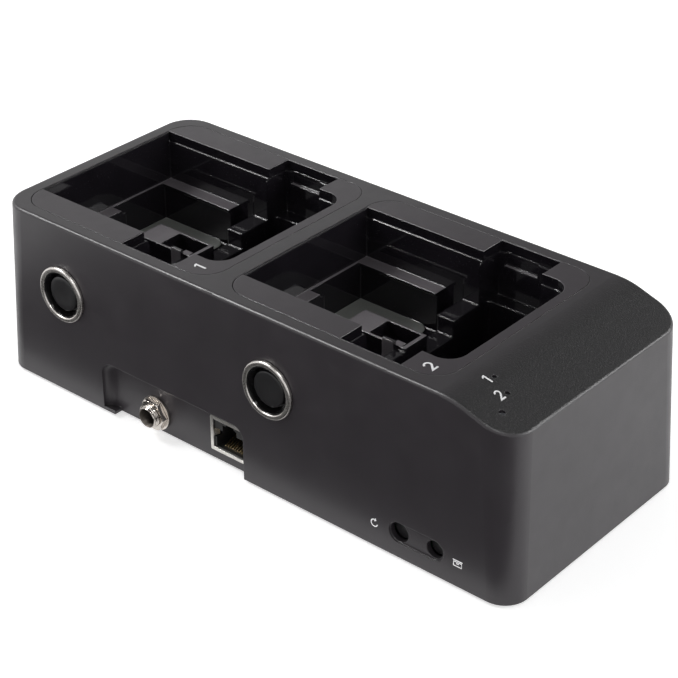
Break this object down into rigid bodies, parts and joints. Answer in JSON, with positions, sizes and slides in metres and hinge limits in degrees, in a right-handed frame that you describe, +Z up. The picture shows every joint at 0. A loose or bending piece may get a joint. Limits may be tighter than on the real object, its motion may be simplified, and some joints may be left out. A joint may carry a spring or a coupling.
{
  "type": "two-bay charging dock",
  "caption": "Low rounded dock with open stepped bays for wireless transmitters, metal-ringed side buttons, a threaded power jack and a network socket.",
  "frame": {"origin": "centre of the body's plan at floor level, under the feet", "axes": "+X towards the sloped indicator end, -Y the connector side, +Z up"},
  "size_m": [0.22, 0.0945, 0.0656],
  "materials": {
    "housing": "fine matte moulded finish, dark warm grey",
    "bezel": "matte moulded finish",
    "well_gloss": "polished black",
    "cup_gloss": "polished black",
    "contact_plastic": "black insulator",
    "button_plastic": "matte moulded finish",
    "switch_plastic": "satin black",
    "nut_plastic": "satin black",
    "bracket_plastic": "satin black",
    "cable_plastic": "grey flat cable jacket",
    "chip_plastic": "black epoxy",
    "transformer_core": "dark ferrite with tape",
    "print_white": "white pad print",
    "label": "plain silver-grey label, blank",
    "foot_rubber": "black rubber",
    "ring_metal": "satin polished metal",
    "jack_nickel": "nickel plated",
    "shield_tin": "tin plated sheet",
    "gold_contact": "gold plated",
    "spring_steel": "spring steel",
    "screw_steel": "zinc plated",
    "heat_sink_metal": "anodised",
    "capacitor_can": "sleeved can",
    "circuit_board": "green solder mask",
    "light_pipe": "clear smoked light pipe",
    "lamp_lens": "lamp lens"
  },
  "bodies": {
    "dock": {"upper_housing": "housing", "base_plate": "housing", "base_screws": "screw_steel", "rubber_feet": "foot_rubber", "rating_label": "label", "bay_bezel_1": "bezel", "bay_bezel_2": "bezel", "bay_well_1": "well_gloss", "bay_well_2": "well_gloss", "contact_block_1": "contact_plastic", "contact_block_2": "contact_plastic", "contact_springs_1": "spring_steel", "contact_springs_2": "spring_steel", "bay_numeral_1": "print_white", "bay_numeral_2": "print_white", "panel_numerals": "print_white", "ring_bezel_1": "ring_metal", "ring_bezel_2": "ring_metal", "ring_cup_1": "cup_gloss", "ring_cup_2": "cup_gloss", "ring_switch_board_1": "circuit_board", "ring_switch_board_2": "circuit_board", "ring_switch_1": "switch_plastic", "ring_switch_2": "switch_plastic", "ring_retaining_nuts": "nut_plastic", "switch_board_screws": "screw_steel", "button_board": "circuit_board", "side_switches": "switch_plastic", "jack_barrel": "jack_nickel", "jack_washer": "jack_nickel", "jack_nut": "jack_nickel", "jack_insulator": "contact_plastic", "jack_pin": "jack_nickel", "socket_shield": "shield_tin", "socket_body": "contact_plastic", "socket_contacts": "gold_contact", "main_board": "circuit_board", "board_screws": "screw_steel", "power_transformer": "transformer_core", "capacitors": "capacitor_can", "board_chips": "chip_plastic", "heat_sink": "heat_sink_metal", "indicator_board": "circuit_board", "indicator_lamps": "lamp_lens", "light_pipes": "light_pipe", "indicator_bracket": "bracket_plastic", "flat_cable": "cable_plastic"},
    "contact_pins_1_body": {"contact_pins_1": "gold_contact"},
    "contact_pins_2_body": {"contact_pins_2": "gold_contact"},
    "reset_button_body": {"reset_button": "button_plastic"},
    "round_button_1_body": {"round_button_1": "button_plastic"},
    "round_button_2_body": {"round_button_2": "button_plastic"},
    "storage_button_body": {"storage_button": "button_plastic"}
  },
  "joints": [
    {"name": "round_button_1_press", "type": "slide", "parent": "dock", "child": "round_button_1_body", "axis": [0, 1, 0], "range_m": [0, 0.0005], "stiffness_N_per_m": 2500, "springref_m": -0.0004},
    {"name": "contact_pins_1_press", "type": "slide", "parent": "dock", "child": "contact_pins_1_body", "axis": [0, 0, -1], "range_m": [0, 0.0012], "stiffness_N_per_m": 900, "springref_m": -0.0008, "deforming": ["contact_springs_1"]},
    {"name": "round_button_2_press", "type": "slide", "parent": "dock", "child": "round_button_2_body", "axis": [0, 1, 0], "range_m": [0, 0.0005], "stiffness_N_per_m": 2500, "springref_m": -0.0004},
    {"name": "contact_pins_2_press", "type": "slide", "parent": "dock", "child": "contact_pins_2_body", "axis": [0, 0, -1], "range_m": [0, 0.0012], "stiffness_N_per_m": 900, "springref_m": -0.0008, "deforming": ["contact_springs_2"]},
    {"name": "reset_button_press", "type": "slide", "parent": "dock", "child": "reset_button_body", "axis": [0, 1, 0], "range_m": [0, 0.0006], "stiffness_N_per_m": 2000, "springref_m": -0.0004},
    {"name": "storage_button_press", "type": "slide", "parent": "dock", "child": "storage_button_body", "axis": [0, 1, 0], "range_m": [0, 0.0006], "stiffness_N_per_m": 2000, "springref_m": -0.0004}
  ]
}
